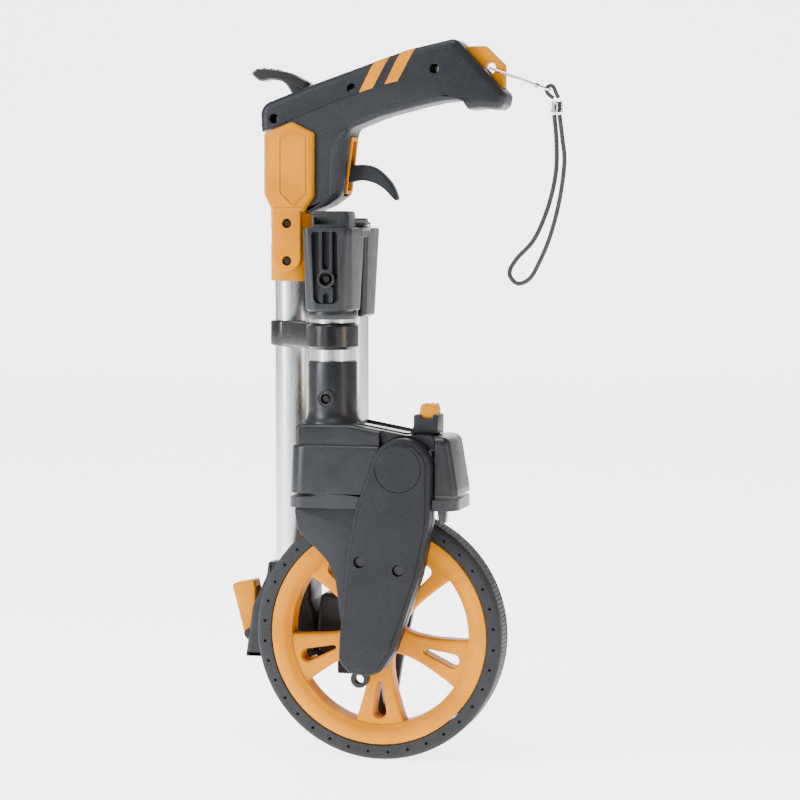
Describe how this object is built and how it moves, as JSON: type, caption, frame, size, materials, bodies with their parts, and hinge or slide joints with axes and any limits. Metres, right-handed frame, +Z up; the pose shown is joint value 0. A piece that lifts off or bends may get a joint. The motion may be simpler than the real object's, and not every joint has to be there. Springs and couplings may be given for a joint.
{
  "type": "folding measuring wheel",
  "caption": "Compact folding distance-measuring wheel: orange spoked wheel with belt-driven counter, hinged aluminium tubes, clips and a lever handle, shown folded upright.",
  "frame": {"origin": "on the wheel's axis, at the gear cover's flat outer face", "axes": "+Y along the wheel's axis from the gear cover to the tubes, +Z up along the folded tubes, +X towards the handle's nose"},
  "size_m": [0.22, 0.0973, 0.4541],
  "materials": {
    "upper_tube": "satin aluminium tube",
    "upper_hinge_block": "moulded charcoal plastic, fine grain",
    "fold_hinge_pin": "steel",
    "yoke_front": "orange moulded plastic",
    "yoke_rear": "orange moulded plastic",
    "yoke_screw_upper": "black-oxide screw",
    "yoke_screw_lower": "black-oxide screw",
    "spine_front": "moulded charcoal plastic, fine grain",
    "spine_rear": "moulded charcoal plastic, fine grain",
    "spine_screw_end": "steel",
    "spine_screw_middle": "steel",
    "spine_screw_nose": "steel",
    "grip_front": "soft-touch moulded plastic",
    "grip_rear": "soft-touch moulded plastic",
    "trigger_bezel": "orange moulded plastic",
    "trigger_pin": "steel",
    "eyelet_insert": "orange moulded plastic",
    "snap_hook": "polished chrome",
    "strap_ferrule": "polished chrome",
    "strap_cord": "black braided cord",
    "strap_top_loop": "black braided cord",
    "fold_latch": "orange moulded plastic",
    "trigger": "moulded charcoal plastic, fine grain",
    "thumb_lever": "moulded charcoal plastic, fine grain",
    "middle_tube": "satin aluminium tube",
    "middle_hinge_block": "moulded charcoal plastic, fine grain",
    "fold_hinge_block": "moulded charcoal plastic, fine grain",
    "top_latch": "moulded charcoal plastic, fine grain",
    "lower_tube": "satin aluminium tube",
    "lower_hinge_block": "moulded charcoal plastic, fine grain",
    "top_hinge_pin": "steel",
    "block_screw": "black-oxide screw",
    "counter_housing": "moulded charcoal plastic, fine grain",
    "counter_window": "clear dark window",
    "housing_base": "moulded charcoal plastic, fine grain",
    "front_cover": "moulded charcoal plastic, fine grain",
    "socket_screw": "black-oxide screw",
    "reset_collar": "moulded charcoal plastic, fine grain",
    "gear_cover": "moulded charcoal plastic, fine grain",
    "cover_screw_left": "black-oxide screw",
    "cover_screw_right": "black-oxide screw",
    "fork_arm": "moulded charcoal plastic, fine grain",
    "rear_arm": "moulded charcoal plastic, fine grain",
    "axle_bush_front": "plain brass",
    "axle_bush_rear": "plain brass",
    "drive_belt": "black rubber",
    "reset_spring": "steel",
    "tyre": "black rubber",
    "wheel_rim": "orange moulded plastic",
    "axle": "steel",
    "drive_pulley": "plain brass",
    "counter_pulley": "white moulded plastic",
    "counter_gear": "white moulded plastic",
    "drum_gear": "white moulded plastic",
    "drum_shaft": "steel",
    "digit_drum_units": "white moulded plastic",
    "digit_drum_tens": "white moulded plastic",
    "digit_drum_hundreds": "white moulded plastic",
    "reset_button": "orange moulded plastic",
    "tube_clip": "moulded charcoal plastic, fine grain"
  },
  "bodies": {
    "handle": {"upper_tube": "upper_tube", "upper_hinge_block": "upper_hinge_block", "fold_hinge_pin": "fold_hinge_pin", "yoke_front": "yoke_front", "yoke_rear": "yoke_rear", "yoke_screw_upper": "yoke_screw_upper", "yoke_screw_lower": "yoke_screw_lower", "spine_front": "spine_front", "spine_rear": "spine_rear", "spine_screw_end": "spine_screw_end", "spine_screw_middle": "spine_screw_middle", "spine_screw_nose": "spine_screw_nose", "grip_front": "grip_front", "grip_rear": "grip_rear", "trigger_bezel": "trigger_bezel", "trigger_pin": "trigger_pin", "eyelet_insert": "eyelet_insert", "snap_hook": "snap_hook", "strap_ferrule": "strap_ferrule", "strap_cord": "strap_cord", "strap_top_loop": "strap_top_loop"},
    "fold_latch": {"fold_latch": "fold_latch"},
    "trigger": {"trigger": "trigger"},
    "thumb_lever": {"thumb_lever": "thumb_lever"},
    "middle": {"middle_tube": "middle_tube", "middle_hinge_block": "middle_hinge_block", "fold_hinge_block": "fold_hinge_block"},
    "top_latch": {"top_latch": "top_latch"},
    "lower": {"lower_tube": "lower_tube", "lower_hinge_block": "lower_hinge_block", "top_hinge_pin": "top_hinge_pin", "block_screw": "block_screw", "counter_housing": "counter_housing", "counter_window": "counter_window", "housing_base": "housing_base", "front_cover": "front_cover", "socket_screw": "socket_screw", "reset_collar": "reset_collar", "gear_cover": "gear_cover", "cover_screw_left": "cover_screw_left", "cover_screw_right": "cover_screw_right", "fork_arm": "fork_arm", "rear_arm": "rear_arm", "axle_bush_front": "axle_bush_front", "axle_bush_rear": "axle_bush_rear", "drive_belt": "drive_belt", "reset_spring": "reset_spring"},
    "wheel": {"tyre": "tyre", "wheel_rim": "wheel_rim", "axle": "axle", "drive_pulley": "drive_pulley"},
    "counter": {"counter_pulley": "counter_pulley", "counter_gear": "counter_gear"},
    "drum_units": {"drum_gear": "drum_gear", "drum_shaft": "drum_shaft", "digit_drum_units": "digit_drum_units"},
    "drum_tens": {"digit_drum_tens": "digit_drum_tens"},
    "drum_hundreds": {"digit_drum_hundreds": "digit_drum_hundreds"},
    "reset_button": {"reset_button": "reset_button"},
    "tube_clip": {"tube_clip": "tube_clip"}
  },
  "joints": [
    {"name": "fold", "type": "hinge", "parent": "handle", "child": "middle", "pos_m": [-0.0505, 0.07, -0.024], "axis": [0, 1, 0], "range_deg": [0, 180], "deforming": ["tube_clip"]},
    {"name": "top_fold", "type": "hinge", "parent": "middle", "child": "lower", "pos_m": [-0.031, 0.05, 0.256], "axis": [-1, 0, 0], "range_deg": [0, 180]},
    {"name": "wheel_spin", "type": "hinge", "parent": "lower", "child": "wheel", "pos_m": [0, 0.03, 0], "axis": [0, 1, 0], "continuous": true},
    {"name": "counter_spin", "type": "hinge", "parent": "lower", "child": "counter", "pos_m": [0.0185, 0.03, 0.1065], "axis": [0, 1, 0], "continuous": true},
    {"name": "drum_units_spin", "type": "hinge", "parent": "lower", "child": "drum_units", "pos_m": [0.0035, 0.03, 0.1135], "axis": [0, 1, 0], "continuous": true},
    {"name": "drum_tens_spin", "type": "hinge", "parent": "lower", "child": "drum_tens", "pos_m": [0.0035, 0.035, 0.1135], "axis": [0, 1, 0], "continuous": true},
    {"name": "drum_hundreds_spin", "type": "hinge", "parent": "lower", "child": "drum_hundreds", "pos_m": [0.0035, 0.042, 0.1135], "axis": [0, 1, 0], "continuous": true},
    {"name": "reset_press", "type": "slide", "parent": "lower", "child": "reset_button", "axis": [0, 0, -1], "range_m": [0, 0.0035], "stiffness_N_per_m": 300, "springref_m": -0.001, "deforming": ["reset_spring"]},
    {"name": "trigger_pull", "type": "hinge", "parent": "handle", "child": "trigger", "pos_m": [-0.0446, 0.07, 0.29], "axis": [0, -1, 0], "range_deg": [0, 25], "stiffness_Nm_per_rad": 0.12, "springref_deg": -11.46},
    {"name": "thumb_press", "type": "hinge", "parent": "handle", "child": "thumb_lever", "pos_m": [-0.06, 0.07, 0.3365], "axis": [0, -1, 0], "range_deg": [0, 12], "stiffness_Nm_per_rad": 0.15, "springref_deg": -11.46},
    {"name": "latch_release", "type": "hinge", "parent": "handle", "child": "fold_latch", "pos_m": [-0.097, 0.07, -0.009], "axis": [0, 1, 0], "range_deg": [0, 10], "stiffness_Nm_per_rad": 0.1, "springref_deg": -11.46},
    {"name": "top_latch_release", "type": "hinge", "parent": "middle", "child": "top_latch", "pos_m": [-0.032, 0.0934, 0.232], "axis": [-1, 0, 0], "range_deg": [0, 6], "stiffness_Nm_per_rad": 0.12, "springref_deg": -11.46},
    {"name": "clip_swivel", "type": "hinge", "parent": "lower", "child": "tube_clip", "pos_m": [-0.032, 0.03, 0.188], "axis": [0, 0, 1], "range_deg": [0, 75]}
  ],
  "couplings": [
    {"joint": "top_fold", "follows": "fold", "ratio": 1},
    {"joint": "counter_spin", "follows": "wheel_spin", "ratio": 0.5},
    {"joint": "drum_units_spin", "follows": "wheel_spin", "ratio": -0.5},
    {"joint": "drum_tens_spin", "follows": "wheel_spin", "ratio": -0.05},
    {"joint": "drum_hundreds_spin", "follows": "wheel_spin", "ratio": -0.005}
  ]
}
